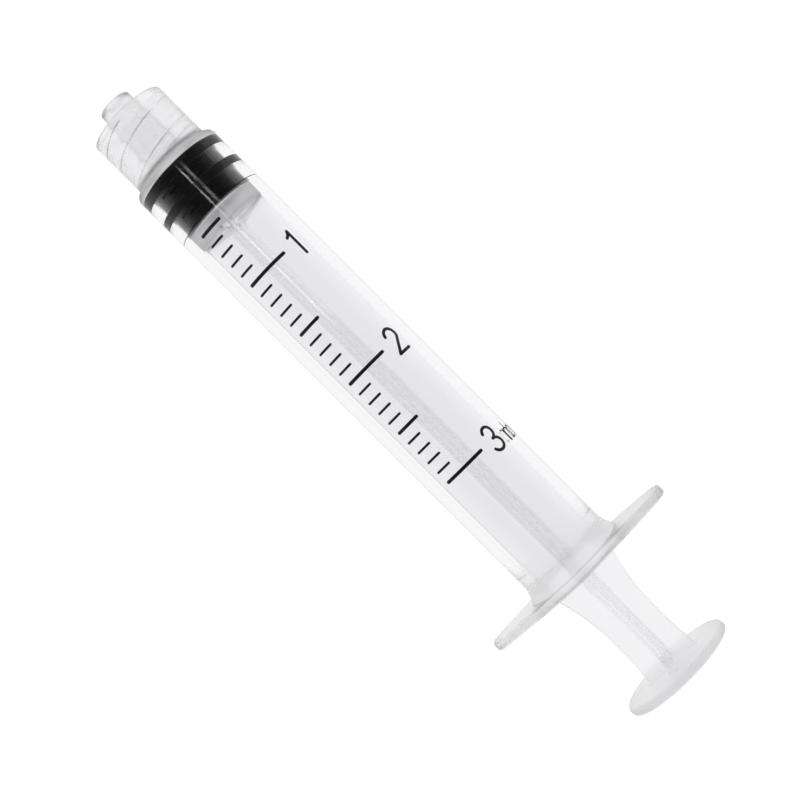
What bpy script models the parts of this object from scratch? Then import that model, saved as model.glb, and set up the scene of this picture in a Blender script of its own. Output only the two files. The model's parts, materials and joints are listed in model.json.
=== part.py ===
"""Three-piece 3 mL disposable syringe with a Luer lock nozzle. Metres, +Z up.

The syringe lies along +X, nozzle tip first, on the small flat at the bottom of its finger flange.
The flange's long axis lies along Y. The origin is on the surface it lies on, under mid-length.
The plunger is pushed right in: its seal is 0.05 mm short of the barrel's end wall.
"""

from math import asin, cos, degrees, pi, radians, sin, sqrt, tau

import bmesh
import bpy

MM = 0.001

# A station is a distance along the axis from the nozzle tip.
LENGTH = 88.1 * MM
SEGMENTS = 48

# Barrel
BARREL_RADIUS = 5.65 * MM
BORE_RADIUS = 4.625 * MM
SHOULDER_STATION = 9.05 * MM
SHOULDER_LENGTH = 1.05 * MM
BORE_FLOOR_STATION = 10.2 * MM

# Nozzle: a 6 % taper on the diameter, as on every Luer fitting
NOZZLE_TIP_RADIUS = 1.985 * MM
NOZZLE_RADIUS_PER_LENGTH = 0.03
CHANNEL_RADIUS = 1.05 * MM

# Lock collar round the nozzle, with a right-handed two-start thread inside
COLLAR_STATION = 2.17 * MM
COLLAR_RADIUS = 4.8 * MM
COLLAR_INNER_RADIUS = 4.0 * MM
THREAD_STARTS = 2
THREAD_LEAD = 5.0 * MM
THREAD_CREST_RADIUS = 3.5 * MM
THREAD_CREST_WIDTH = 0.35 * MM
THREAD_ROOT_WIDTH = 0.95 * MM
THREAD_EMBED = 0.2 * MM
THREAD_FIRST_STATION = 2.75 * MM
THREAD_LAST_STATION = 8.75 * MM
THREAD_TOP_STATION = 4.7 * MM

# Bead inside the barrel's open end, which keeps the plunger from being pulled out
BEAD_RADIUS = 4.45 * MM
BEAD_STATION = 67.7 * MM
BEAD_LENGTH = 0.9 * MM
MOUTH_RADIUS = 4.7 * MM

# Finger flange
FLANGE_STATION = 71.6 * MM
FLANGE_THICKNESS = 1.15 * MM
FLANGE_HALF_LENGTH = 12.7 * MM
FLANGE_HALF_WIDTH = 7.1 * MM
FLANGE_MIDDLE_RADIUS = 7.15 * MM
FLANGE_END_RADIUS = 2.9 * MM
FLANGE_EDGE_ROUNDING = 0.3 * MM
FLANGE_HOLE_RADIUS = 5.1 * MM
FLARE_STATION = 69.2 * MM
FLARE_RADIUS = 6.45 * MM

# Seal
SEAL_STATION = 10.25 * MM
SEAL_LENGTH = 6.4 * MM
SEAL_CLEARANCE = 0.05 * MM
SEAL_GROOVE_RADIUS = 4.45 * MM
FRONT_LAND_LENGTH = 1.33 * MM
MIDDLE_LAND_STATION = 13.25 * MM
MIDDLE_LAND_LENGTH = 1.23 * MM
REAR_LIP_LENGTH = 0.3 * MM

# Rod: a head inside the seal, a disc behind it, four fins and a thumb press
HEAD_RADIUS = 2.5 * MM
HEAD_STATION = 12.4 * MM
NECK_RADIUS = 1.8 * MM
NECK_STATION = 14.8 * MM
SOCKET_CLEARANCE = 0.1 * MM
DISC_STATION = 16.8 * MM
DISC_LENGTH = 1.8 * MM
DISC_RADIUS = 4.5 * MM
FIN_THICKNESS = 0.7 * MM
FIN_RADIUS = 4.35 * MM
FIN_TAPER_STATION = 72.9 * MM
FIN_WAIST_STATION = 80.5 * MM
FIN_WAIST_END_STATION = 82.5 * MM
FIN_WAIST_RADIUS = 3.08 * MM
FIN_FOOT_RADIUS = 3.4 * MM
PRESS_STATION = 87.0 * MM
PRESS_RADIUS = 7.03 * MM
PRESS_ROUNDING = 0.45 * MM
BURIED = 0.4 * MM


def clear_scene():
    for obj in list(bpy.data.objects):
        bpy.data.objects.remove(obj, do_unlink=True)


def make_collection(name):
    collection = bpy.data.collections.new(name)
    bpy.context.scene.collection.children.link(collection)
    return collection


def plastic(name, color, roughness, transmission=0.0):
    """A Principled material: one colour, one roughness, no metal."""
    material = bpy.data.materials.new(name)
    material.use_nodes = True
    shader = material.node_tree.nodes["Principled BSDF"]
    shader.inputs["Base Color"].default_value = (*color, 1.0)
    shader.inputs["Roughness"].default_value = roughness
    shader.inputs["Metallic"].default_value = 0.0
    shader.inputs["Transmission Weight"].default_value = transmission
    return material


def arc(centre, radius, start, end, steps):
    """Points round a centre, at angles in degrees counted from +X towards +Y."""
    angles = [radians(start + (end - start) * i / steps) for i in range(steps + 1)]
    return [(centre[0] + radius * cos(a), centre[1] + radius * sin(a)) for a in angles]


def quarter_ellipse(start, end, steps):
    """From start, at first along Y, to end, at last along X."""
    along, out = end[0] - start[0], end[1] - start[1]
    angles = [pi / 2 * i / steps for i in range(steps + 1)]
    return [(start[0] + along * (1 - cos(a)), start[1] + out * sin(a)) for a in angles]


def turned(name, outline, closed):
    """A solid turned about X. The outline holds (station, radius) pairs, front to back outside."""
    points = list(reversed(outline))
    edges = [(i, i + 1) for i in range(len(points) - 1)]
    if closed:
        edges.append((len(points) - 1, 0))
    mesh = bpy.data.meshes.new(name)
    mesh.from_pydata([(x, r, 0.0) for x, r in points], edges, [])
    obj = bpy.data.objects.new(name, mesh)
    screw = obj.modifiers.new("Turn", "SCREW")
    screw.axis = "X"
    screw.steps = SEGMENTS
    screw.render_steps = SEGMENTS
    screw.use_merge_vertices = True
    screw.merge_threshold = 0.001 * MM
    return obj


def plate(name, outlines, thickness, rounding=0.0):
    """A flat plate in its own XY plane. Each outline is a closed list of points; inner ones are holes."""
    curve = bpy.data.curves.new(name, "CURVE")
    curve.dimensions = "2D"
    curve.fill_mode = "BOTH"
    curve.extrude = thickness / 2 - rounding
    curve.bevel_depth = rounding
    curve.bevel_resolution = 1
    curve.offset = -rounding
    for outline in outlines:
        spline = curve.splines.new("POLY")
        spline.points.add(len(outline) - 1)
        for point, (x, y) in zip(spline.points, outline):
            point.co = (x, y, 0.0, 1.0)
        spline.use_cyclic_u = True
    return bpy.data.objects.new(name, curve)


def as_mesh(obj):
    """The object with its modifiers applied, as one closed mesh in place of it."""
    bpy.context.scene.collection.objects.link(obj)
    bpy.context.view_layer.update()
    graph = bpy.context.evaluated_depsgraph_get()
    mesh = bpy.data.meshes.new_from_object(obj.evaluated_get(graph), depsgraph=graph)
    mesh.transform(obj.matrix_world)
    shape = bmesh.new()
    shape.from_mesh(mesh)
    bmesh.ops.remove_doubles(shape, verts=shape.verts, dist=0.001 * MM)
    ends = [edge for edge in shape.edges if edge.is_boundary]
    bmesh.ops.holes_fill(shape, edges=ends)
    bmesh.ops.recalc_face_normals(shape, faces=shape.faces)
    shape.to_mesh(mesh)
    shape.free()
    name = obj.name
    bpy.data.objects.remove(obj, do_unlink=True)
    return bpy.data.objects.new(name, mesh)


def join(target, helper, helpers):
    """Adds helper to target with a Boolean union."""
    helper.hide_render = True
    helper.display_type = "WIRE"
    helper.parent = target
    helpers.objects.link(helper)
    union = target.modifiers.new(helper.name, "BOOLEAN")
    union.operation = "UNION"
    union.solver = "EXACT"
    union.object = helper


def barrel_outline():
    """The turned shape: nozzle, lock collar, shoulder, tube and the flare into the flange."""
    tip_rounding = 0.2 * MM
    collar_rounding = 0.2 * MM
    nozzle_root_radius = NOZZLE_TIP_RADIUS + NOZZLE_RADIUS_PER_LENGTH * SHOULDER_STATION
    collar_chamfer = 0.2 * MM
    bead_slope = 0.2 * MM
    floor_rounding = 0.25 * MM
    mouth_chamfer = 0.3 * MM
    flange_middle = FLANGE_STATION + FLANGE_THICKNESS / 2
    bead_end = BEAD_STATION + BEAD_LENGTH
    outline = [(0.0, CHANNEL_RADIUS)]
    outline += quarter_ellipse(
        (0.0, NOZZLE_TIP_RADIUS - tip_rounding), (tip_rounding, NOZZLE_TIP_RADIUS), 3
    )
    outline += [
        (SHOULDER_STATION, nozzle_root_radius),
        (SHOULDER_STATION, COLLAR_INNER_RADIUS),
        (COLLAR_STATION + collar_chamfer, COLLAR_INNER_RADIUS),
        (COLLAR_STATION, COLLAR_INNER_RADIUS + collar_chamfer / 2),
    ]
    outline += quarter_ellipse(
        (COLLAR_STATION, COLLAR_RADIUS - collar_rounding),
        (COLLAR_STATION + collar_rounding, COLLAR_RADIUS),
        2,
    )
    outline += quarter_ellipse(
        (SHOULDER_STATION, COLLAR_RADIUS),
        (SHOULDER_STATION + SHOULDER_LENGTH, BARREL_RADIUS),
        5,
    )
    flare_length = FLANGE_STATION - FLARE_STATION
    for i in range(6):
        along = i / 5
        outline.append(
            (
                FLARE_STATION + along * flare_length,
                BARREL_RADIUS + (FLARE_RADIUS - BARREL_RADIUS) * along**2,
            )
        )
    outline += [
        (flange_middle, FLARE_RADIUS),
        (flange_middle + mouth_chamfer, FLANGE_HOLE_RADIUS + mouth_chamfer),
        (flange_middle, MOUTH_RADIUS),
        (bead_end, MOUTH_RADIUS),
        (bead_end - bead_slope, BEAD_RADIUS),
        (BEAD_STATION + bead_slope, BEAD_RADIUS),
        (BEAD_STATION, BORE_RADIUS),
        (BORE_FLOOR_STATION + floor_rounding, BORE_RADIUS),
        (BORE_FLOOR_STATION, BORE_RADIUS - floor_rounding),
        (BORE_FLOOR_STATION, CHANNEL_RADIUS),
    ]
    return outline


def flange_outline():
    """A middle disc with a small flat at top and bottom, and two ears tapering to round ends."""
    end_centre = FLANGE_HALF_LENGTH - FLANGE_END_RADIUS
    side_angle = 90 - degrees(asin((FLANGE_MIDDLE_RADIUS - FLANGE_END_RADIUS) / end_centre))
    flat_angle = degrees(asin(FLANGE_HALF_WIDTH / FLANGE_MIDDLE_RADIUS))
    top_right = arc((end_centre, 0.0), FLANGE_END_RADIUS, 0, side_angle, 6)
    top_right += arc((0.0, 0.0), FLANGE_MIDDLE_RADIUS, side_angle, flat_angle, 4)
    top_left = [(-x, y) for x, y in reversed(top_right)]
    bottom_left = [(-x, -y) for x, y in top_right[1:]]
    bottom_right = [(x, -y) for x, y in reversed(top_right[1:])]
    return top_right + top_left + bottom_left + bottom_right


def make_flange():
    """The finger flange as a plate across the axis, with a hole that the tube's wall fills."""
    hole = arc((0.0, 0.0), FLANGE_HOLE_RADIUS, 0, 360 - 360 / SEGMENTS, SEGMENTS - 1)
    flange = plate("flange", [flange_outline(), hole], FLANGE_THICKNESS, FLANGE_EDGE_ROUNDING)
    flange.location.x = FLANGE_STATION + FLANGE_THICKNESS / 2
    flange.rotation_euler = (pi / 2, 0.0, pi / 2)
    return as_mesh(flange)


def make_thread(start):
    """One start of the collar's thread: a ridge swept along a right-handed helix about X."""
    foot = COLLAR_INNER_RADIUS + THREAD_EMBED
    section = [
        (-THREAD_ROOT_WIDTH / 2, foot),
        (-THREAD_CREST_WIDTH / 2, THREAD_CREST_RADIUS),
        (THREAD_CREST_WIDTH / 2, THREAD_CREST_RADIUS),
        (THREAD_ROOT_WIDTH / 2, foot),
    ]
    mesh = bpy.data.meshes.new("thread")
    points = [(THREAD_FIRST_STATION + x, r, 0.0) for x, r in section]
    mesh.from_pydata(points, [(0, 1), (1, 2), (2, 3), (3, 0)], [])
    thread = bpy.data.objects.new(f"thread_{start + 1}", mesh)
    turns = (THREAD_LAST_STATION - THREAD_FIRST_STATION) / THREAD_LEAD
    screw = thread.modifiers.new("Helix", "SCREW")
    screw.axis = "X"
    screw.angle = turns * tau
    screw.screw_offset = turns * THREAD_LEAD
    screw.steps = round(turns * SEGMENTS * 0.75)
    screw.render_steps = screw.steps
    turns_before_top = (THREAD_TOP_STATION - THREAD_FIRST_STATION) / THREAD_LEAD
    thread.rotation_euler.x = pi / 2 - turns_before_top * tau + start * tau / THREAD_STARTS
    return as_mesh(thread)


def make_barrel(helpers):
    barrel = turned("barrel", barrel_outline(), closed=True)
    join(barrel, make_flange(), helpers)
    for start in range(THREAD_STARTS):
        join(barrel, make_thread(start), helpers)
    return barrel


def make_seal():
    """The rubber seal: two lands and a thin rear lip that wipe the bore, and a socket for the head."""
    land_radius = BORE_RADIUS - SEAL_CLEARANCE
    front_chamfer = 0.2 * MM
    groove_slope = 0.15 * MM
    lip_chamfer = 0.1 * MM
    rear = SEAL_STATION + SEAL_LENGTH
    front_end = SEAL_STATION + FRONT_LAND_LENGTH
    middle_end = MIDDLE_LAND_STATION + MIDDLE_LAND_LENGTH
    lip_start = rear - REAR_LIP_LENGTH
    neck_radius = NECK_RADIUS + SOCKET_CLEARANCE
    head_radius = HEAD_RADIUS + SOCKET_CLEARANCE
    neck_station = NECK_STATION + SOCKET_CLEARANCE
    head_station = HEAD_STATION - SOCKET_CLEARANCE
    outline = [
        (SEAL_STATION, 0.0),
        (SEAL_STATION, land_radius - front_chamfer),
        (SEAL_STATION + front_chamfer, land_radius),
        (front_end - groove_slope, land_radius),
        (front_end, SEAL_GROOVE_RADIUS),
        (MIDDLE_LAND_STATION, SEAL_GROOVE_RADIUS),
        (MIDDLE_LAND_STATION + groove_slope, land_radius),
        (middle_end - groove_slope, land_radius),
        (middle_end, SEAL_GROOVE_RADIUS),
        (lip_start, SEAL_GROOVE_RADIUS),
        (lip_start + lip_chamfer, land_radius),
        (rear - lip_chamfer, land_radius),
        (rear, SEAL_GROOVE_RADIUS),
        (rear, neck_radius),
        (neck_station, neck_radius),
        (neck_station, head_radius),
        (head_station + HEAD_RADIUS / 2, head_radius),
        (head_station, head_radius / 2),
        (head_station, 0.0),
    ]
    return turned("plunger_seal", outline, closed=False)


def rod_end_outline():
    """The rod's turned front end: the head that snaps into the seal, its neck and the disc."""
    disc_chamfer = 0.2 * MM
    disc_end = DISC_STATION + DISC_LENGTH
    return [
        (HEAD_STATION, 0.0),
        (HEAD_STATION, HEAD_RADIUS / 2),
        (HEAD_STATION + HEAD_RADIUS / 2, HEAD_RADIUS),
        (NECK_STATION, HEAD_RADIUS),
        (NECK_STATION, NECK_RADIUS),
        (DISC_STATION, NECK_RADIUS),
        (DISC_STATION, DISC_RADIUS - disc_chamfer),
        (DISC_STATION + disc_chamfer, DISC_RADIUS),
        (disc_end - disc_chamfer, DISC_RADIUS),
        (disc_end, DISC_RADIUS - disc_chamfer),
        (disc_end, 0.0),
    ]


def fin_edge():
    """One edge of a fin: full width inside the barrel, a waist outside it, and a wider foot."""
    edge = [(DISC_STATION + DISC_LENGTH - BURIED, FIN_RADIUS)]
    taper = FIN_WAIST_STATION - FIN_TAPER_STATION
    for i in range(9):
        along = i / 8
        narrowing = (FIN_RADIUS - FIN_WAIST_RADIUS) * (1 - along) ** 2
        edge.append((FIN_TAPER_STATION + along * taper, FIN_WAIST_RADIUS + narrowing))
    foot_length = PRESS_STATION - FIN_WAIST_END_STATION
    for i in range(5):
        along = i / 4
        widening = (FIN_FOOT_RADIUS - FIN_WAIST_RADIUS) * along**2
        edge.append((FIN_WAIST_END_STATION + along * foot_length, FIN_WAIST_RADIUS + widening))
    edge.append((PRESS_STATION + BURIED, FIN_FOOT_RADIUS))
    return edge


def make_fin(turn):
    """Two opposite fins as one plate through the axis."""
    edge = fin_edge()
    outline = edge + [(x, -y) for x, y in reversed(edge)]
    fin = plate(f"fin_{turn}", [outline], FIN_THICKNESS)
    fin.rotation_euler.x = radians(turn)
    return as_mesh(fin)


def make_press():
    """The thumb press: a disc with a rounded rim."""
    middle = (PRESS_STATION + LENGTH) / 2
    outline = [(PRESS_STATION, 0.0)]
    rim = quarter_ellipse(
        (PRESS_STATION, PRESS_RADIUS - PRESS_ROUNDING),
        (PRESS_STATION + PRESS_ROUNDING, PRESS_RADIUS),
        3,
    )
    outline += rim + [(2 * middle - x, r) for x, r in reversed(rim)]
    outline.append((LENGTH, 0.0))
    return as_mesh(turned("thumb_press", outline, closed=False))


def make_rod(helpers):
    rod = turned("plunger_rod", rod_end_outline(), closed=False)
    for turn in (0, 90):
        join(rod, make_fin(turn), helpers)
    join(rod, make_press(), helpers)
    return rod


def main():
    clear_scene()
    parts = make_collection("syringe")
    helpers = make_collection("syringe_helpers")
    axis = bpy.data.objects.new("syringe_axis", None)
    axis.location = (-LENGTH / 2, 0.0, FLANGE_HALF_WIDTH)
    parts.objects.link(axis)
    clear = plastic("clear_polypropylene", (0.93, 0.93, 0.95), 0.12, transmission=0.9)
    milky = plastic("natural_polypropylene", (0.90, 0.90, 0.93), 0.25, transmission=0.6)
    rubber = plastic("black_rubber", (0.012, 0.012, 0.014), 0.3)
    pieces = (
        (make_barrel(helpers), clear),
        (make_seal(), rubber),
        (make_rod(helpers), milky),
    )
    for piece, material in pieces:
        piece.data.materials.append(material)
        piece.parent = axis
        parts.objects.link(piece)


main()
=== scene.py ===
"""Looks of the three-piece syringe: clear barrel, black rubber seal, translucent rod and printed scale.

Stations are distances from the nozzle tip along the plunger's axis, which runs along +X. Angles are counted
about +X, from +Y towards +Z, so the top line is at a quarter turn.
"""

import json
from math import asin, atan2, cos, pi, radians, sin, sqrt, tan, tau

import bpy
from mathutils import Matrix, Vector


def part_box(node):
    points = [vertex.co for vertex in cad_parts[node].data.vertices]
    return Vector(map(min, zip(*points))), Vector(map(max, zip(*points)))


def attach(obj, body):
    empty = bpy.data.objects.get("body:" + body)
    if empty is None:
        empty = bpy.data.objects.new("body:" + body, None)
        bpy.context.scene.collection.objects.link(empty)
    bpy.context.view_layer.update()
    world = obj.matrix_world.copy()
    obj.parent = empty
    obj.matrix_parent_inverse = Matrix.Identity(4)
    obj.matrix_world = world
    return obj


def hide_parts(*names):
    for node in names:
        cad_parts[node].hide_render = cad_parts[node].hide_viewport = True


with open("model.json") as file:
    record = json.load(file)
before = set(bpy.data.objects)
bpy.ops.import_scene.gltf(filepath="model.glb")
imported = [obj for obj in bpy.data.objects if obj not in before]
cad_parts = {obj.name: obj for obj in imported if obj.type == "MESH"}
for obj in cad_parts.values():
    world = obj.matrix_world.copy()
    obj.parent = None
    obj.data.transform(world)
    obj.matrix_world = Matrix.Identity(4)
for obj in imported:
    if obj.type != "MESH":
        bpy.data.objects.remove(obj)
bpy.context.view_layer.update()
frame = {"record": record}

MM = 0.001
BARREL_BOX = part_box("barrel")
SEAL_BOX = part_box("plunger_seal")
ROD_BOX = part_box("plunger_rod")
MOUNTS = {mount["name"]: mount for mount in frame["record"]["mounts"]}
TIP_X = BARREL_BOX[0].x
AXIS_Z = (BARREL_BOX[0].z + BARREL_BOX[1].z) / 2


def mount_station(name):
    """The station of one of the record's mounts."""
    return MOUNTS[name]["pos_m"][0] - TIP_X


# Stations and radii that the frame gives
LENGTH = mount_station("thumb_press_face")
COLLAR = mount_station("collar_front_face")
FLANGE_FRONT = mount_station("flange_front_face")
FLANGE_REAR = mount_station("flange_rear_face")
FLANGE_HALF_LENGTH = BARREL_BOX[1].y
FLANGE_HALF_WIDTH = AXIS_Z
SEAL_REAR = SEAL_BOX[1].x - TIP_X
PRESS_RADIUS = ROD_BOX[1].y

# Nozzle and lock collar. The shoulder is the floor between them, and its step is seen from outside
TIP_RADIUS = 1.985 * MM
TIP_TAPER = 0.03
TIP_ROUNDING = 0.3 * MM
CHANNEL_RADIUS = 1.05 * MM
CHANNEL_ROUNDING = 0.3 * MM
COLLAR_RADIUS = 4.8 * MM
COLLAR_BORE = 4.0 * MM
COLLAR_ROUNDING = 0.22 * MM
SHOULDER = 9.05 * MM
SHOULDER_FILLET = 0.3 * MM
SHOULDER_STEP = 9.35 * MM
SHOULDER_END = 10.1 * MM

# The collar's two-start thread: where each ridge crosses the top line, its flanks and its run-in
THREAD_LEAD = 5.0 * MM
THREAD_HEIGHT = 0.22 * MM
THREAD_TOP_STATIONS = (4.5 * MM, 7.4 * MM)
THREAD_FRONT_REACH = 0.75 * MM
THREAD_FRONT_FLANK = 0.6 * MM
THREAD_REAR_REACH = 0.475 * MM
THREAD_REAR_FLANK = 0.30 * MM
THREAD_RUN_IN_START = 2.5 * MM
THREAD_RUN_IN = 0.4 * MM
THREAD_PARTING_FADE = 0.65

# Tube, bore and finger flange
BARREL_RADIUS = 5.65 * MM
BORE_RADIUS = 4.625 * MM
BORE_FLOOR = 10.2 * MM
BORE_FILLET = 0.25 * MM
BEAD_START = 67.7 * MM
BEAD_END = 68.6 * MM
BEAD_RADIUS = 4.59 * MM
MOUTH_RADIUS = 4.7 * MM
MOUTH_ROUNDING = 0.4 * MM
FLARE_START = 69.2 * MM
FLARE_RADIUS = 6.45 * MM
FLARE_FILLET = 0.25 * MM
FLARE_FILLET_HEIGHT = 0.32 * MM
FLANGE_MIDDLE_RADIUS = 7.15 * MM
FLANGE_END_RADIUS = 2.9 * MM
FLANGE_ROUNDING = 0.3 * MM

# Seal: its lands reach a little into the bore's wall. Its socket is wider than the rod's neck and head, but
# the head's rounded front is pressed into the socket's taper
LAND_RADIUS = BORE_RADIUS + 0.012 * MM
LIP_RADIUS = BORE_RADIUS + 0.003 * MM
GROOVE_RADIUS = 4.45 * MM
GROOVES = ((11.58 * MM, 13.25 * MM), (14.48 * MM, 16.36 * MM))
LAND_ROUNDING = 0.22 * MM
SEAL_FRONT_ROUNDING = 0.25 * MM
LIP_ROUNDING = 0.13 * MM
SOCKET_GAP = 0.1 * MM

# Plunger rod
HEAD_RADIUS = 2.5 * MM
HEAD_FRONT = 12.4 * MM
NECK_RADIUS = 1.8 * MM
NECK_FRONT = 14.8 * MM
DISC_FRONT = 16.8 * MM
DISC_REAR = 18.6 * MM
DISC_RADIUS = 4.5 * MM
DISC_FRONT_ROUNDING = 0.2 * MM
DISC_REAR_ROUNDING = 0.12 * MM
FIN_HALF_THICKNESS = 0.35 * MM
FIN_TIP_ROUNDING = 0.06 * MM
FIN_ROOT_FILLET = 0.22 * MM
DISC_FILLET = 0.25 * MM
PRESS_FILLET = 0.45 * MM
FIN_RADIUS = 4.35 * MM
FIN_TAPER_START = 72.9 * MM
FIN_WAIST_START = 80.5 * MM
FIN_WAIST_END = 82.5 * MM
FIN_WAIST_RADIUS = 3.08 * MM
FIN_FOOT_RADIUS = 3.4 * MM
PRESS_FRONT = 87.0 * MM
PRESS_ROUNDING = 0.45 * MM
PRESS_DIMPLE_RADIUS = 1.3 * MM
PRESS_DIMPLE_DEPTH = 0.15 * MM

# The printed scale. Marks are listed as (width, degrees where they start) and all end at one angle. Those
# angles and the glyphs' arcs are counted from the top line, away from +Y. A stroke's round end stops just
# short of a quarter turn, so that it isn't a point
SCALE_ZERO = 10.66 * MM
SCALE_PER_ML = 14.88 * MM
INK_TOP = BARREL_RADIUS + 0.012 * MM
INK_BOTTOM = BARREL_RADIUS - 0.006 * MM
INK_END_TURN = 1.45
WHOLE_MARK = (0.40 * MM, -26.5)
HALF_MARK = (0.38 * MM, -3.0)
TENTH_MARK = (0.28 * MM, 8.5)
MARKS_END = 29.5
NUMERALS_START = -35.5
NUMERAL_WIDTH, NUMERAL_HEIGHT, NUMERAL_WEIGHT = 2.05 * MM, 3.45 * MM, 0.36 * MM
UNIT_HEIGHT, UNIT_WEIGHT = 2.4 * MM, 0.22 * MM
UNIT_OFFSET = 3.03 * MM
UNIT_M_WIDTH, UNIT_L_WIDTH, UNIT_PITCH = 2.22 * MM, 1.5 * MM, 3.15 * MM

# Roughness of the plastics, as (station, roughness) pairs. The tube is glossy, and the collar, shoulder,
# flange, disc and thumb press are satin
PLASTIC_IOR = 1.38
BARREL_ROUGHNESS = (
    (0.0, 0.42),
    (1.6 * MM, 0.40),
    (2.5 * MM, 0.25),
    (8.4 * MM, 0.25),
    (9.2 * MM, 0.62),
    (10.2 * MM, 0.62),
    (10.45 * MM, 0.05),
    (66 * MM, 0.07),
    (69.5 * MM, 0.25),
    (71.5 * MM, 0.38),
    (73 * MM, 0.38),
)
ROD_ROUGHNESS = (
    (0.0, 0.58),
    (17.9 * MM, 0.58),
    (18.4 * MM, 1.0),
    (18.66 * MM, 1.0),
    (19.0 * MM, 0.22),
    (85 * MM, 0.22),
    (86.8 * MM, 0.38),
)

# The camera looks square onto the axis, turned about it towards +Y
CAMERA_TURN = radians(8.5)
CAMERA_DISTANCE = 179.8 * MM
CAMERA_STATION = 49.7 * MM
CAMERA_LENS = 73.6
CAMERA_SHIFT = (-0.0418, 0.0295)

# The strip lights reach from ahead of the nozzle to the disc, so their lines of light show on the seal
STRIP_STATIONS = (-30 * MM, 18 * MM)
SIDE_STRIP_TURN = CAMERA_TURN + radians(13.4)

# The floor and the backdrop are white to the camera, and the floor is slightly darker to the plastic
SEEN_WHITE = 1.03
FLOOR_GLOW = 0.945
FLOOR_HALF = 30.0
FLOOR_GAP = 0.5 * MM
SKY = ((0.0, 0.94), (0.25, 0.6), (0.6, 0.2), (0.85, 0.1), (1.0, 0.08))

# Angles of the points round a turned shape, and the angle over which an edge is drawn sharp
AROUND = [tau * i / 240 for i in range(240)]
SHARP_EDGE = radians(38)


# ---------------------------------------------------------------- shapes


def polar(station, radius, angle):
    """The point at a station, a radius and an angle."""
    return (TIP_X + station, radius * cos(angle), AXIS_Z + radius * sin(angle))


def circle(station, radius, angles):
    """A ring of points. The radius is a number, or a function of the angle."""
    if callable(radius):
        return [polar(station, radius(a), a) for a in angles]
    return [polar(station, radius, a) for a in angles]


def corner(start, end, steps, first="out"):
    """(station, radius) pairs round a corner, leaving start along the radius or along the axis."""
    along, out = end[0] - start[0], end[1] - start[1]
    turns = [pi / 2 * i / steps for i in range(steps + 1)]
    if first == "out":
        return [(start[0] + along * (1 - cos(a)), start[1] + out * sin(a)) for a in turns]
    return [(start[0] + along * sin(a), start[1] + out * (1 - cos(a))) for a in turns]


def spread(start, end, steps):
    """Evenly spaced values from start to end, both included."""
    return [start + (end - start) * i / steps for i in range(steps + 1)]


def ease(value):
    """0 below 0, 1 above 1 and smooth between."""
    value = min(max(value, 0.0), 1.0)
    return value * value * (3 - 2 * value)


def loft(rings, ring_closed=False):
    """Points and faces of a skin over rings of equally many points. Open ends are closed with fans."""
    count = len(rings[0])
    points = [p for ring in rings for p in ring]
    faces = []
    for i in range(len(rings) if ring_closed else len(rings) - 1):
        a, b = i * count, (i + 1) % len(rings) * count
        for j in range(count):
            k = (j + 1) % count
            faces.append((a + j, b + j, b + k, a + k))
    if not ring_closed:
        for start, step in ((0, 1), ((len(rings) - 1) * count, -1)):
            end = points[start : start + count]
            centre = len(points)
            points.append(tuple(sum(p[axis] for p in end) / count for axis in range(3)))
            for j in range(count):
                faces.append((centre, start + j, start + (j + 1) % count)[::step])
    return points, faces


def volume(points, faces):
    """Six times the volume inside closed faces. It is negative if they point in."""
    total = 0.0
    for face in faces:
        a = Vector(points[face[0]])
        for j in range(1, len(face) - 1):
            total += a.dot(Vector(points[face[j]]).cross(Vector(points[face[j + 1]])))
    return total


def solid(name, lofts):
    """One smooth-shaded object of closed lofts, whose faces are turned to point out."""
    all_points, all_faces = [], []
    for points, faces in lofts:
        step = 1 if volume(points, faces) > 0 else -1
        first = len(all_points)
        all_points += points
        all_faces += [tuple(first + i for i in face[::step]) for face in faces]
    mesh = bpy.data.meshes.new(name)
    mesh.from_pydata(all_points, [], all_faces)
    mesh.shade_smooth()
    mesh.set_sharp_from_angle(angle=SHARP_EDGE)
    obj = bpy.data.objects.new(name, mesh)
    bpy.context.scene.collection.objects.link(obj)
    even = obj.modifiers.new("even_normals", "WEIGHTED_NORMAL")
    even.keep_sharp = True
    return obj


# ---------------------------------------------------------------- barrel


def thread_ridge(station, angle):
    """How far the thread stands in from the collar's bore. It is low at the mould's two parting lines."""
    reach = 0.0
    for first in THREAD_TOP_STATIONS:
        centre = first + (angle - pi / 2) / tau * THREAD_LEAD
        behind = (station - centre + THREAD_LEAD / 2) % THREAD_LEAD - THREAD_LEAD / 2
        if behind < 0:
            flank = ease((behind + THREAD_FRONT_REACH) / THREAD_FRONT_FLANK)
        else:
            flank = ease((THREAD_REAR_REACH - behind) / THREAD_REAR_FLANK)
        reach = max(reach, THREAD_HEIGHT * flank)
    run_in = ease((station - THREAD_RUN_IN_START) / THREAD_RUN_IN)
    return reach * run_in * (1 - THREAD_PARTING_FADE * cos(angle) ** 4)


def flange_radius(angle, inset):
    """The flange outline's distance from the axis: a middle disc with two flats, and tapering ears."""
    lift = atan2(abs(sin(angle)), abs(cos(angle)))
    middle = FLANGE_MIDDLE_RADIUS - inset
    end = FLANGE_END_RADIUS - inset
    end_centre = FLANGE_HALF_LENGTH - FLANGE_END_RADIUS
    side = pi / 2 - asin((middle - end) / end_centre)
    end_lift = atan2(end * sin(side), end_centre + end * cos(side))
    if lift >= side:
        return min(middle, (FLANGE_HALF_WIDTH - inset) / sin(lift))
    if lift <= end_lift:
        return end_centre * cos(lift) + sqrt(end**2 - (end_centre * sin(lift)) ** 2)
    return middle / cos(lift - side)


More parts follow.
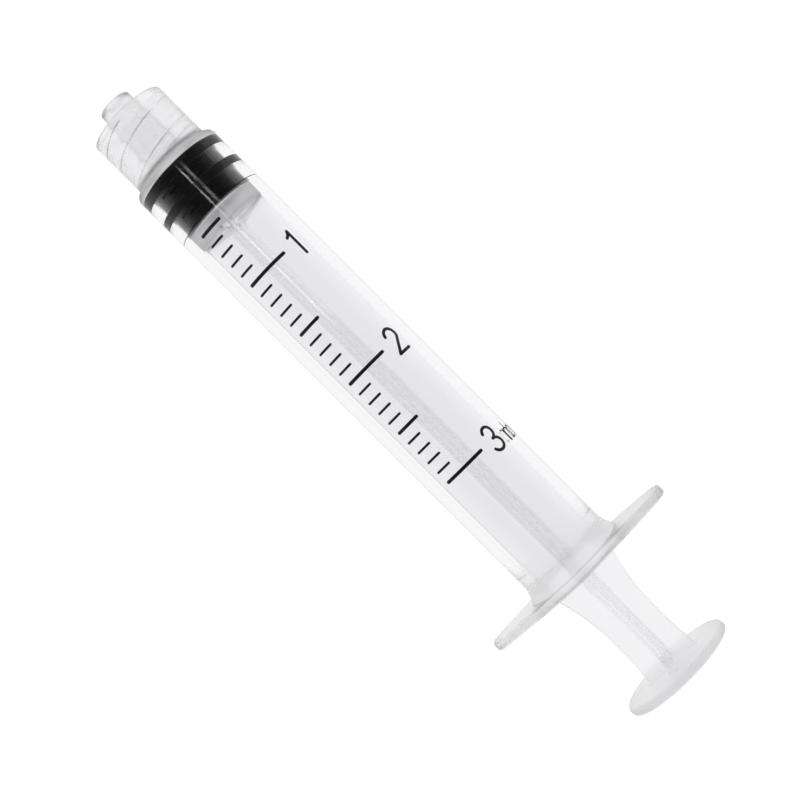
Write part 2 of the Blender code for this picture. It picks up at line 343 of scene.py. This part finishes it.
def nozzle_and_collar():
    """The channel's mouth, the nozzle, the shoulder and the collar, ending where the tube starts."""
    floor = SHOULDER - SHOULDER_FILLET
    nozzle_end = TIP_RADIUS + TIP_TAPER * floor
    path = [(0.08 * MM, CHANNEL_RADIUS), (0.0, CHANNEL_RADIUS + 0.09 * MM)]
    tip_side = (TIP_ROUNDING, TIP_RADIUS + TIP_TAPER * TIP_ROUNDING)
    path += corner((0.0, TIP_RADIUS - 0.28 * MM), tip_side, 6)
    path += [(s, TIP_RADIUS + TIP_TAPER * s) for s in spread(2.0 * MM, 8.0 * MM, 3)]
    path += corner((floor, nozzle_end), (SHOULDER, nozzle_end + SHOULDER_FILLET), 5, "along")
    path += corner((SHOULDER, COLLAR_BORE - SHOULDER_FILLET), (floor, COLLAR_BORE), 5)
    mouth = COLLAR + 0.2 * MM
    for s in spread(floor, mouth, 170)[1:-1]:
        path.append((s, lambda a, s=s: COLLAR_BORE - thread_ridge(s, a)))
    path += corner((mouth, COLLAR_BORE), (COLLAR, COLLAR_BORE + 0.15 * MM), 4, "along")
    collar_side = (COLLAR + COLLAR_ROUNDING, COLLAR_RADIUS)
    path += corner((COLLAR, COLLAR_RADIUS - COLLAR_ROUNDING), collar_side, 5)
    path += [(s, COLLAR_RADIUS) for s in spread(4.0 * MM, SHOULDER_STEP - 0.15 * MM, 3)]
    path.append((SHOULDER_STEP, COLLAR_RADIUS + 0.1 * MM))
    path += corner((SHOULDER_STEP, COLLAR_RADIUS + 0.12 * MM), (SHOULDER_END, BARREL_RADIUS), 14)
    return path


def tube_and_flare():
    """The tube's outside, and its flare into the flange's front face."""
    path = [(s, BARREL_RADIUS) for s in spread(14 * MM, FLARE_START, 12)]
    for s in spread(FLARE_START, FLANGE_FRONT - FLARE_FILLET, 14)[1:]:
        t = (s - FLARE_START) / (FLANGE_FRONT - FLARE_START)
        path.append((s, BARREL_RADIUS + (FLARE_RADIUS - BARREL_RADIUS) * t**2))
    path += corner(path[-1], (FLANGE_FRONT, path[-1][1] + FLARE_FILLET_HEIGHT), 5, "along")[1:]
    return path


def flange_rim():
    """The flange's front face, rounded rim and rear face."""
    front, rear = FLANGE_FRONT + FLANGE_ROUNDING, FLANGE_REAR - FLANGE_ROUNDING
    insets = corner((FLANGE_FRONT, FLANGE_ROUNDING), (front, 0.0), 6)
    insets += corner((rear, 0.0), (FLANGE_REAR, FLANGE_ROUNDING), 6, "along")
    return [(station, lambda a, inset=inset: flange_radius(a, inset)) for station, inset in insets]


def bore_and_channel():
    """The bore from its open end to the end wall, and the nozzle's channel."""
    mouth = FLANGE_REAR - MOUTH_ROUNDING
    path = corner((FLANGE_REAR, MOUTH_RADIUS + MOUTH_ROUNDING), (mouth, MOUTH_RADIUS), 5)
    path += [(s, MOUTH_RADIUS) for s in spread(71.5 * MM, BEAD_END + 0.1 * MM, 3)]
    for t in spread(0.0, 1.0, 12):
        radius = MOUTH_RADIUS + (BEAD_RADIUS - MOUTH_RADIUS) * ease(t * 2)
        radius += (BORE_RADIUS - BEAD_RADIUS) * ease(t * 2 - 1)
        path.append((BEAD_END + (BEAD_START - BEAD_END) * t, radius))
    path += [(s, BORE_RADIUS) for s in spread(BEAD_START - 1 * MM, BORE_FLOOR + 1 * MM, 12)]
    floor_edge = (BORE_FLOOR, BORE_RADIUS - BORE_FILLET)
    path += corner((BORE_FLOOR + BORE_FILLET, BORE_RADIUS), floor_edge, 5, "along")
    channel_edge = (BORE_FLOOR - CHANNEL_ROUNDING, CHANNEL_RADIUS)
    path += corner((BORE_FLOOR, CHANNEL_RADIUS + CHANNEL_ROUNDING), channel_edge, 5)
    path += [(s, CHANNEL_RADIUS) for s in spread(8 * MM, 1 * MM, 4)]
    return path


def make_barrel():
    """One closed skin: from the channel's mouth back over collar, tube and flange, and in by the bore."""
    path = nozzle_and_collar() + tube_and_flare() + flange_rim() + bore_and_channel()
    rings = [circle(station, radius, AROUND) for station, radius in path]
    return solid("barrel_moulding", [loft(rings, ring_closed=True)])


# ---------------------------------------------------------------- seal


def make_seal():
    """Two lands and a thin rear lip that press on the bore, rounded grooves between them, and the socket."""
    front = BORE_FLOOR - 0.01 * MM
    front_side = (front + SEAL_FRONT_ROUNDING, LAND_RADIUS)
    path = corner((front, LAND_RADIUS - SEAL_FRONT_ROUNDING), front_side, 8)
    for start, end in GROOVES:
        path += corner((start - LAND_ROUNDING, LAND_RADIUS), (start, GROOVE_RADIUS), 6, "along")
        path += corner((end, GROOVE_RADIUS), (end + LAND_ROUNDING * 0.6, LAND_RADIUS), 6)
    path[-1] = (path[-1][0], LIP_RADIUS)
    lip_edge = (SEAL_REAR, LIP_RADIUS - LIP_ROUNDING)
    path += corner((SEAL_REAR - LIP_ROUNDING, LIP_RADIUS), lip_edge, 5, "along")
    neck, head = NECK_RADIUS + SOCKET_GAP, HEAD_RADIUS + SOCKET_GAP
    path += corner((SEAL_REAR, neck + 0.2 * MM), (SEAL_REAR - 0.2 * MM, neck), 3)
    path += [(NECK_FRONT + SOCKET_GAP, neck), (NECK_FRONT + SOCKET_GAP, head)]
    path += [(HEAD_FRONT + HEAD_RADIUS / 2, head), (HEAD_FRONT - SOCKET_GAP, head / 2)]
    rings = [circle(front, LAND_RADIUS * 0.5, AROUND)]
    rings += [circle(station, radius, AROUND) for station, radius in path]
    return solid("rubber_seal", [loft(rings)])


# ---------------------------------------------------------------- rod


def quadrant(reach, half):
    """A quarter of the crossed fins' section, from one fin's tip to the next one's, as (y, z) pairs."""
    rounding = min(FIN_TIP_ROUNDING, half * 0.6)
    tip = [(reach, half * t) for t in (0.0, 0.3)]
    tip += [(y, z) for z, y in corner((half - rounding, reach), (half, reach - rounding), 4, "along")]
    root = half + FIN_ROOT_FILLET
    side = spread(atan2(half, reach - rounding), atan2(half, root), 14)[1:-1]
    tip += [(half / tan(a), half) for a in side]
    arc = []
    for a in spread(0.0, pi / 2, 6):
        arc.append((root - FIN_ROOT_FILLET * sin(a), root - FIN_ROOT_FILLET * cos(a)))
    return tip + arc + [(z, y) for y, z in reversed(tip[1:])]


def fin_section(station, reach, grow=0.0):
    """The crossed fins' whole section, thickened by grow on each side."""
    ring = []
    for turn in range(4):
        c, s = cos(turn * pi / 2), sin(turn * pi / 2)
        for y, z in quadrant(reach, FIN_HALF_THICKNESS + grow):
            ring.append((TIP_X + station, c * y - s * z, AXIS_Z + s * y + c * z))
    return ring


def fin_reach(station):
    """A fin's half width: full inside the barrel, a waist behind it and a wider foot."""
    if station < FIN_TAPER_START:
        return FIN_RADIUS
    if station < FIN_WAIST_START:
        t = (station - FIN_TAPER_START) / (FIN_WAIST_START - FIN_TAPER_START)
        return FIN_WAIST_RADIUS + (FIN_RADIUS - FIN_WAIST_RADIUS) * (1 - t) ** 2
    t = max(0.0, (station - FIN_WAIST_END) / (PRESS_FRONT - FIN_WAIST_END))
    return FIN_WAIST_RADIUS + (FIN_FOOT_RADIUS - FIN_WAIST_RADIUS) * t**2


def head_to_disc():
    """The rod's front end, up to the edge of the disc's rear face."""
    path = [(HEAD_FRONT, HEAD_RADIUS * 0.25)]
    path += corner((HEAD_FRONT, HEAD_RADIUS * 0.5), (HEAD_FRONT + HEAD_RADIUS / 2, HEAD_RADIUS), 6)
    head_edge = (NECK_FRONT, HEAD_RADIUS - 0.2 * MM)
    path += corner((NECK_FRONT - 0.2 * MM, HEAD_RADIUS), head_edge, 3, "along")
    path += [(NECK_FRONT, NECK_RADIUS), (DISC_FRONT, NECK_RADIUS)]
    front_edge = (DISC_FRONT, DISC_RADIUS - DISC_FRONT_ROUNDING)
    path += corner(front_edge, (DISC_FRONT + DISC_FRONT_ROUNDING, DISC_RADIUS), 5)
    rear_edge = (DISC_REAR, DISC_RADIUS - DISC_REAR_ROUNDING)
    path += corner((DISC_REAR - DISC_REAR_ROUNDING, DISC_RADIUS), rear_edge, 4, "along")
    return path


def fin_rings():
    """The crossed fins from the disc to the thumb press, with a fillet at each end."""
    rings = []
    for a in spread(0.0, pi / 2, 10):
        station = DISC_REAR + DISC_FILLET * (1 - cos(a))
        rings.append(fin_section(station, FIN_RADIUS, DISC_FILLET * (1 - sin(a))))
    for station in spread(DISC_REAR + 2 * MM, FIN_TAPER_START, 12):
        rings.append(fin_section(station, FIN_RADIUS))
    for station in spread(FIN_TAPER_START, PRESS_FRONT - PRESS_FILLET, 30)[1:]:
        rings.append(fin_section(station, fin_reach(station)))
    for a in spread(pi / 2, 0.0, 6)[1:]:
        station = PRESS_FRONT - PRESS_FILLET * (1 - cos(a))
        grow = PRESS_FILLET * (1 - sin(a))
        rings.append(fin_section(station, fin_reach(station) + grow, grow))
    return rings


def thumb_press():
    """The press's rounded rim, and a shallow dimple in the middle of its rear face."""
    front_edge = (PRESS_FRONT, PRESS_RADIUS - PRESS_ROUNDING)
    path = corner(front_edge, (PRESS_FRONT + PRESS_ROUNDING, PRESS_RADIUS), 7)
    rear_edge = (LENGTH, PRESS_RADIUS - PRESS_ROUNDING)
    path += corner((LENGTH - PRESS_ROUNDING, PRESS_RADIUS), rear_edge, 7, "along")
    dimple_edge = (LENGTH - PRESS_DIMPLE_DEPTH, PRESS_DIMPLE_RADIUS - 0.2 * MM)
    path += corner((LENGTH, PRESS_DIMPLE_RADIUS), dimple_edge, 4, "along")
    return path


def ring_angles(ring):
    """The angle of each point of a ring, so that the next ring's points can follow them."""
    return [atan2(z - AXIS_Z, y) for _, y, z in ring]


def make_rod():
    """Head, neck, disc, crossed fins and thumb press as one skin."""
    front_angles = ring_angles(fin_section(0.0, FIN_RADIUS))
    rings = [circle(station, radius, front_angles) for station, radius in head_to_disc()]
    rings += fin_rings()
    rear_angles = ring_angles(rings[-1])
    rings += [circle(station, radius, rear_angles) for station, radius in thumb_press()]
    return solid("rod_moulding", [loft(rings)])


# ---------------------------------------------------------------- printed scale


def ink_stroke(path, width):
    """A closed sliver of ink with round ends on the tube, along (station, arc from the top line) pairs."""
    half = width / 2
    points = [Vector(p) for p in path]
    first = (points[0] - points[1]).normalized()
    last = (points[-1] - points[-2]).normalized()
    line = [(points[0] + first * half * sin(a), half * cos(a)) for a in spread(INK_END_TURN, 0.0, 5)]
    line += [(p, half) for p in points[1:-1]]
    line += [(points[-1] + last * half * sin(a), half * cos(a)) for a in spread(0.0, INK_END_TURN, 5)]
    rings = []
    for i, (point, reach) in enumerate(line):
        before, after = line[max(i - 1, 0)][0], line[min(i + 1, len(line) - 1)][0]
        ahead = (after - before).normalized()
        side = Vector((-ahead.y, ahead.x)) * reach
        ring = []
        corners = ((side, INK_TOP), (-side, INK_TOP), (-side, INK_BOTTOM), (side, INK_BOTTOM))
        for edge, radius in corners:
            spot = point + edge
            ring.append(polar(spot.x, radius, pi / 2 + spot.y / BARREL_RADIUS))
        rings.append(ring)
    return loft(rings)


def straight(start, end, steps=8):
    """Points along a straight line on the tube's unrolled surface."""
    a, b = Vector(start), Vector(end)
    return [tuple(a.lerp(b, i / steps)) for i in range(steps + 1)]


def arc_points(centre, radii, start, end, steps=14):
    """Points along an elliptical arc, with angles in degrees from the reading direction."""
    return [
        (centre[0] + radii[0] * cos(radians(a)), centre[1] + radii[1] * sin(radians(a)))
        for a in spread(start, end, steps)
    ]


def scale_station(millilitres):
    """Where the scale says that many millilitres."""
    return SCALE_ZERO + SCALE_PER_ML * millilitres


def make_marks():
    """A rounded bar for each 0.1 mL. The 0.5 mL bars are bolder and longer, and the 1 mL bars longest."""
    lofts = []
    for tenth in range(31):
        if tenth % 10 == 0:
            width, start = WHOLE_MARK
        elif tenth % 5 == 0:
            width, start = HALF_MARK
        else:
            width, start = TENTH_MARK
        station = scale_station(tenth / 10)
        near = BARREL_RADIUS * radians(start) + width / 2
        far = BARREL_RADIUS * radians(MARKS_END) - width / 2
        lofts.append(ink_stroke(straight((station, near), (station, far)), width))
    return solid("scale_marks", lofts)


# Strokes in a box of width 1 and height 1, from its lower left corner
GLYPHS = {
    "1": [[(0.16, 0.80), (0.34, 0.86), (0.50, 1.0)], [(0.50, 1.0), (0.50, 0.0)]],
    "2": [
        arc_points((0.5, 0.71), (0.42, 0.29), 165, -25) + [(0.60, 0.40), (0.06, 0.0)],
        [(0.06, 0.0), (0.96, 0.0)],
    ],
    "3": [
        arc_points((0.47, 0.75), (0.40, 0.25), 160, -90),
        arc_points((0.47, 0.25), (0.45, 0.25), 90, -160),
    ],
    "m": [
        [(0.0, 0.70), (0.0, 0.0)],
        arc_points((0.25, 0.45), (0.25, 0.25), 180, 0) + [(0.50, 0.0)],
        arc_points((0.75, 0.45), (0.25, 0.25), 180, 0) + [(1.0, 0.0)],
    ],
    "L": [[(0.0, 1.0), (0.0, 0.0)], [(0.0, 0.0), (0.8, 0.0)]],
}


def glyph_strokes(glyph, station, left, width, height, weight):
    """A glyph's strokes on the tube: centred on a station, upright with the nozzle up, read towards +Y."""
    inner_width, inner_height = width - weight, height - weight
    lofts = []
    for stroke in GLYPHS[glyph]:
        line = []
        for start, end in zip(stroke, stroke[1:]):
            line += straight(start, end, 3)[:-1]
        line.append(stroke[-1])
        path = []
        for u, v in line:
            path.append((station + inner_height * (0.5 - v), left - weight / 2 - inner_width * u))
        lofts.append(ink_stroke(path, weight))
    return lofts


def make_numerals():
    """The numerals 1, 2 and 3, and the unit beside the 3 on the same base line."""
    lofts = []
    left = BARREL_RADIUS * radians(NUMERALS_START)
    numeral = (left, NUMERAL_WIDTH, NUMERAL_HEIGHT, NUMERAL_WEIGHT)
    for millilitres in (1, 2, 3):
        lofts += glyph_strokes(str(millilitres), scale_station(millilitres), *numeral)
    station = scale_station(3) + (NUMERAL_HEIGHT - UNIT_HEIGHT) / 2
    left -= UNIT_OFFSET
    lofts += glyph_strokes("m", station, left, UNIT_M_WIDTH, UNIT_HEIGHT, UNIT_WEIGHT)
    left -= UNIT_PITCH
    lofts += glyph_strokes("L", station, left, UNIT_L_WIDTH, UNIT_HEIGHT, UNIT_WEIGHT)
    return solid("scale_numerals", lofts)


# ---------------------------------------------------------------- materials


def new_material(name):
    """A material, its nodes and links, and its Principled BSDF."""
    material = bpy.data.materials.new(name)
    material.use_nodes = True
    nodes, links = material.node_tree.nodes, material.node_tree.links
    return material, nodes, links, nodes["Principled BSDF"]


def noise(nodes, links, scale, detail=3.0, stretch=(1.0, 1.0, 1.0)):
    """Noise in object space, stretched along the axes, as an output socket."""
    where = nodes.new("ShaderNodeTexCoord")
    mapping = nodes.new("ShaderNodeMapping")
    mapping.inputs["Scale"].default_value = stretch
    texture = nodes.new("ShaderNodeTexNoise")
    texture.inputs["Scale"].default_value = scale
    texture.inputs["Detail"].default_value = detail
    links.new(where.outputs["Object"], mapping.inputs["Vector"])
    links.new(mapping.outputs["Vector"], texture.inputs["Vector"])
    return texture.outputs["Fac"]


def ranged(nodes, links, source, low, high, start=0.3, end=0.7):
    """A value that goes from low to high as source goes from start to end."""
    change = nodes.new("ShaderNodeMapRange")
    for name, value in (("From Min", start), ("From Max", end), ("To Min", low), ("To Max", high)):
        change.inputs[name].default_value = value
    links.new(source, change.inputs["Value"])
    return change.outputs["Result"]


def bump(nodes, links, source, shader, distance, strength):
    """Raises the surface where source is high."""
    relief = nodes.new("ShaderNodeBump")
    relief.inputs["Distance"].default_value = distance
    relief.inputs["Strength"].default_value = strength
    links.new(source, relief.inputs["Height"])
    links.new(relief.outputs["Normal"], shader.inputs["Normal"])


def tint(nodes, links, source, dark, light, shader):
    """The base colour varies between two colours."""
    ramp = nodes.new("ShaderNodeValToRGB")
    ramp.color_ramp.elements[0].color = (*dark, 1)
    ramp.color_ramp.elements[0].position = 0.3
    ramp.color_ramp.elements[1].color = (*light, 1)
    ramp.color_ramp.elements[1].position = 0.7
    links.new(source, ramp.inputs["Fac"])
    links.new(ramp.outputs["Color"], shader.inputs["Base Color"])


def grey_ramp(nodes, levels):
    """A ramp of greys, from (position, level) pairs."""
    ramp = nodes.new("ShaderNodeValToRGB")
    stops = ramp.color_ramp.elements
    stops.remove(stops[1])
    for i, (position, level) in enumerate(levels):
        stop = stops[0] if i == 0 else stops.new(position)
        stop.position = position
        stop.color = (level, level, level, 1)
    return ramp


def new_plastic(name, roughness):
    """A transparent plastic, with (station, roughness) pairs along the axis."""
    material, nodes, links, shader = new_material(name)
    shader.inputs["Transmission Weight"].default_value = 1.0
    shader.inputs["IOR"].default_value = PLASTIC_IOR
    where = nodes.new("ShaderNodeTexCoord")
    split = nodes.new("ShaderNodeSeparateXYZ")
    ramp = grey_ramp(nodes, [(station / LENGTH, level) for station, level in roughness])
    share = ranged(nodes, links, split.outputs["X"], 0.0, 1.0, TIP_X, TIP_X + LENGTH)
    links.new(where.outputs["Object"], split.inputs["Vector"])
    links.new(share, ramp.inputs["Fac"])
    links.new(ramp.outputs["Color"], shader.inputs["Roughness"])
    return material, nodes, links, shader


def clear_plastic():
    """Clear polypropylene, with a cool tint that varies a little along the tube."""
    material, nodes, links, shader = new_plastic("clear_polypropylene", BARREL_ROUGHNESS)
    flow = noise(nodes, links, 90.0, 2.0, (0.35, 1.0, 1.0))
    tint(nodes, links, flow, (0.990, 0.986, 0.999), (0.996, 0.992, 1.0), shader)
    return material


def milky_plastic():
    """Natural polypropylene, a little less clear and with a patchy tint."""
    material, nodes, links, shader = new_plastic("natural_polypropylene", ROD_ROUGHNESS)
    cloud = noise(nodes, links, 300.0)
    tint(nodes, links, cloud, (0.984, 0.979, 0.998), (0.992, 0.987, 1.0), shader)
    return material


def radius_from_axis(nodes, links):
    """Distance from the syringe's axis, as an output socket."""
    where = nodes.new("ShaderNodeTexCoord")
    flat = nodes.new("ShaderNodeVectorMath")
    flat.operation = "MULTIPLY_ADD"
    flat.inputs[1].default_value = (0.0, 1.0, 1.0)
    flat.inputs[2].default_value = (0.0, 0.0, -AXIS_Z)
    length = nodes.new("ShaderNodeVectorMath")
    length.operation = "LENGTH"
    links.new(where.outputs["Object"], flat.inputs[0])
    links.new(flat.outputs["Vector"], length.inputs[0])
    return length.outputs["Value"]


def seal_rubber():
    """Black rubber with a fine grain, shiny in its grooves and matt on its lands."""
    material, nodes, links, shader = new_material("black_rubber")
    shader.inputs["Specular IOR Level"].default_value = 0.25
    grain = noise(nodes, links, 2200.0, 4.0)
    tint(nodes, links, grain, (0.004, 0.004, 0.005), (0.009, 0.009, 0.010), shader)
    radius = radius_from_axis(nodes, links)
    roughness = ranged(nodes, links, radius, 0.18, 0.5, 4.48 * MM, 4.6 * MM)
    links.new(roughness, shader.inputs["Roughness"])
    return material


def scale_ink():
    """Black printing ink, slightly uneven in cover and gloss."""
    material, nodes, links, shader = new_material("scale_ink")
    cover = noise(nodes, links, 900.0, 4.0)
    tint(nodes, links, cover, (0.004, 0.004, 0.006), (0.014, 0.014, 0.018), shader)
    links.new(ranged(nodes, links, cover, 0.35, 0.55), shader.inputs["Roughness"])
    bump(nodes, links, cover, shader, 0.01 * MM, 0.3)
    return material


def place(piece, material, body, node=None):
    """Gives a piece its material in a new material slot and its body, and hides the CAD part that it
    replaces.
    """
    piece.data.materials.append(material)
    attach(piece, body)
    if node:
        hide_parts(node)


# ---------------------------------------------------------------- stage, light and camera


def on_camera_side(station, turn, distance):
    """A point at a distance from the axis, turned about it from straight up towards +Y."""
    return Vector((TIP_X + station, distance * sin(turn), AXIS_Z + distance * cos(turn)))


def make_floor():
    """A plain white floor that glows like a light table."""
    corners = [(-1, -1), (1, -1), (1, 1), (-1, 1)]
    mesh = bpy.data.meshes.new("floor")
    mesh.from_pydata([(x * FLOOR_HALF, y * FLOOR_HALF, 0) for x, y in corners], [], [(0, 1, 2, 3)])
    floor = bpy.data.objects.new("floor", mesh)
    bpy.context.scene.collection.objects.link(floor)
    floor.location.z = -FLOOR_GAP
    material, nodes, links, shader = new_material("light_table")
    shader.inputs["Base Color"].default_value = (0.02, 0.02, 0.02, 1)
    shader.inputs["Specular IOR Level"].default_value = 0.0
    shader.inputs["Emission Color"].default_value = (1.0, 1.0, 1.0, 1)
    path = nodes.new("ShaderNodeLightPath")
    glow = ranged(nodes, links, path.outputs["Is Camera Ray"], FLOOR_GLOW, SEEN_WHITE, 0.0, 1.0)
    links.new(glow, shader.inputs["Emission Strength"])
    mesh.materials.append(material)


def make_world():
    """A light tent: dim overhead, white near the horizon on one side and grey on the other.

    The camera sees plain white in its place.
    """
    world = bpy.data.worlds.new("studio")
    world.use_nodes = True
    nodes, links = world.node_tree.nodes, world.node_tree.links
    tent = nodes["Background"]
    where = nodes.new("ShaderNodeTexCoord")
    split = nodes.new("ShaderNodeSeparateXYZ")
    sky = grey_ramp(nodes, SKY)
    links.new(where.outputs["Generated"], split.inputs["Vector"])
    links.new(split.outputs["Z"], sky.inputs["Fac"])
    links.new(sky.outputs["Color"], tent.inputs["Color"])
    side = ranged(nodes, links, split.outputs["Y"], 1.0, 0.35, 0.0, 0.8)
    links.new(side, tent.inputs["Strength"])
    backdrop = nodes.new("ShaderNodeBackground")
    backdrop.inputs["Color"].default_value = (1.0, 1.0, 1.0, 1)
    backdrop.inputs["Strength"].default_value = SEEN_WHITE
    path = nodes.new("ShaderNodeLightPath")
    either = nodes.new("ShaderNodeMixShader")
    links.new(path.outputs["Is Camera Ray"], either.inputs["Fac"])
    links.new(tent.outputs["Background"], either.inputs[1])
    links.new(backdrop.outputs["Background"], either.inputs[2])
    links.new(either.outputs["Shader"], nodes["World Output"].inputs["Surface"])
    bpy.context.scene.world = world


def strip_light(name, turn, width, radiance):
    """A thin light parallel to the syringe, which shows as a line of light along it."""
    length = STRIP_STATIONS[1] - STRIP_STATIONS[0]
    light = bpy.data.lights.new(name, "AREA")
    light.shape = "RECTANGLE"
    light.size, light.size_y = length, width
    light.energy = radiance * pi * length * width
    strip = bpy.data.objects.new(name, light)
    bpy.context.scene.collection.objects.link(strip)
    strip.location = on_camera_side(sum(STRIP_STATIONS) / 2, turn, CAMERA_DISTANCE)
    back = Vector((0, sin(turn), cos(turn)))
    along = Vector((1, 0, 0))
    strip.rotation_euler = Matrix((along, back.cross(along), back)).transposed().to_euler()


def make_camera():
    """Square onto the axis, with the syringe lying across the picture from corner to corner."""
    back = Vector((0, sin(CAMERA_TURN), cos(CAMERA_TURN)))
    along = Vector((1, 0, 0))
    across = back.cross(along)
    right = (along + across).normalized()
    up = (across - along).normalized()
    data = bpy.data.cameras.new("camera")
    data.lens = CAMERA_LENS
    data.sensor_width = 36
    data.shift_x, data.shift_y = CAMERA_SHIFT
    data.clip_start = 0.005
    camera = bpy.data.objects.new("camera", data)
    bpy.context.scene.collection.objects.link(camera)
    camera.location = on_camera_side(CAMERA_STATION, CAMERA_TURN, CAMERA_DISTANCE)
    camera.rotation_euler = Matrix((right, up, back)).transposed().to_euler()
    bpy.context.scene.camera = camera


# ---------------------------------------------------------------- assembly

make_camera()
make_floor()
make_world()
strip_light("key_line", CAMERA_TURN, width=13 * MM, radiance=4.0)
strip_light("side_line", SIDE_STRIP_TURN, width=22 * MM, radiance=1.8)

ink = scale_ink()
place(make_barrel(), clear_plastic(), "barrel", "barrel")
place(make_marks(), ink, "barrel")
place(make_numerals(), ink, "barrel")
place(make_seal(), seal_rubber(), "seal", "plunger_seal")
place(make_rod(), milky_plastic(), "rod", "plunger_rod")

scene = bpy.context.scene
scene.view_settings.view_transform = "Standard"
scene.cycles.max_bounces = 24
scene.cycles.transmission_bounces = 24
scene.cycles.glossy_bounces = 8

bpy.context.view_layer.update()
